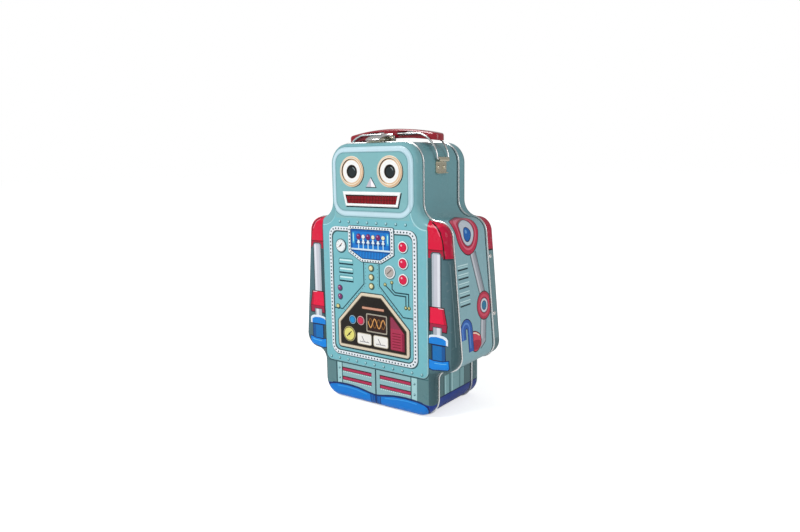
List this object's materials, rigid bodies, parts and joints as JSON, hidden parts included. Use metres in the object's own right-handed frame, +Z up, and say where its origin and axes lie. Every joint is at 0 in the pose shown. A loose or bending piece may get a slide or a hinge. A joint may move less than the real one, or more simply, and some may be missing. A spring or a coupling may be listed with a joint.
{
  "type": "robot-shaped tin carry case",
  "caption": "Printed tin carry case shaped as a standing toy robot, with a hinged front lid, a snap latch on the head and a low carry handle on wire bails.",
  "frame": {"origin": "on the floor, below the middle of the case", "axes": "+Z up, the robot's face looks towards -Y, +X to the right of someone who looks at the face"},
  "size_m": [0.1668, 0.0798, 0.2415],
  "materials": {
    "printed_tin_front": "glossy printed tin, light teal with printed controls, face and arms",
    "printed_tin_side": "glossy printed tin, grey-teal with printed arms and vents",
    "printed_tin_rear": "glossy printed tin, grey-teal with a plain riveted back",
    "bare_tin": "bare bright tinplate",
    "chrome": "bright plating",
    "nickel": "slightly warm nickel plating",
    "steel": "bright drawn steel wire",
    "red_enamel": "glossy deep red enamel on pressed sheet"
  },
  "bodies": {
    "case": {"side_band": "printed_tin_side", "rear_pan": "printed_tin_rear", "band_knuckles": "bare_tin", "hinge_pin": "steel", "latch_base": "chrome", "latch_base_rivets": "chrome", "latch_pin": "steel", "bracket_left": "nickel", "bracket_right": "nickel", "bracket_rivets_left": "nickel", "bracket_rivets_right": "nickel", "flank_studs_left": "nickel", "flank_studs_right": "nickel"},
    "lid": {"front_lid": "printed_tin_front", "lid_knuckles": "bare_tin", "latch_keeper": "chrome", "keeper_rivets": "chrome"},
    "latch": {"latch_lever": "chrome"},
    "handle": {"handle_grip": "red_enamel"},
    "left_bail": {"bail_left": "steel"},
    "right_bail": {"bail_right": "steel"}
  },
  "joints": [
    {"name": "lid_hinge", "type": "hinge", "parent": "case", "child": "lid", "pos_m": [0, -0.02985, 0.0012], "axis": [1, 0, 0], "range_deg": [0, 95]},
    {"name": "latch_pivot", "type": "hinge", "parent": "case", "child": "latch", "pos_m": [0, -0.0174, 0.233], "axis": [-1, 0, 0], "range_deg": [0, 70]},
    {"name": "handle_lift", "type": "slide", "parent": "case", "child": "handle", "axis": [0, 0, 1], "range_m": [0, 0.016]},
    {"name": "right_bail_pivot", "type": "hinge", "parent": "case", "child": "right_bail", "pos_m": [0.0489, -0.0033, 0.215], "axis": [0, 1, 0], "range_deg": [0, 27]},
    {"name": "left_bail_pivot", "type": "hinge", "parent": "case", "child": "left_bail", "pos_m": [-0.0489, -0.0033, 0.215], "axis": [0, -1, 0], "range_deg": [0, 27]}
  ],
  "couplings": [
    {"joint": "right_bail_pivot", "follows": "handle_lift", "rad_per_m": 29.049},
    {"joint": "left_bail_pivot", "follows": "handle_lift", "rad_per_m": 29.049}
  ]
}
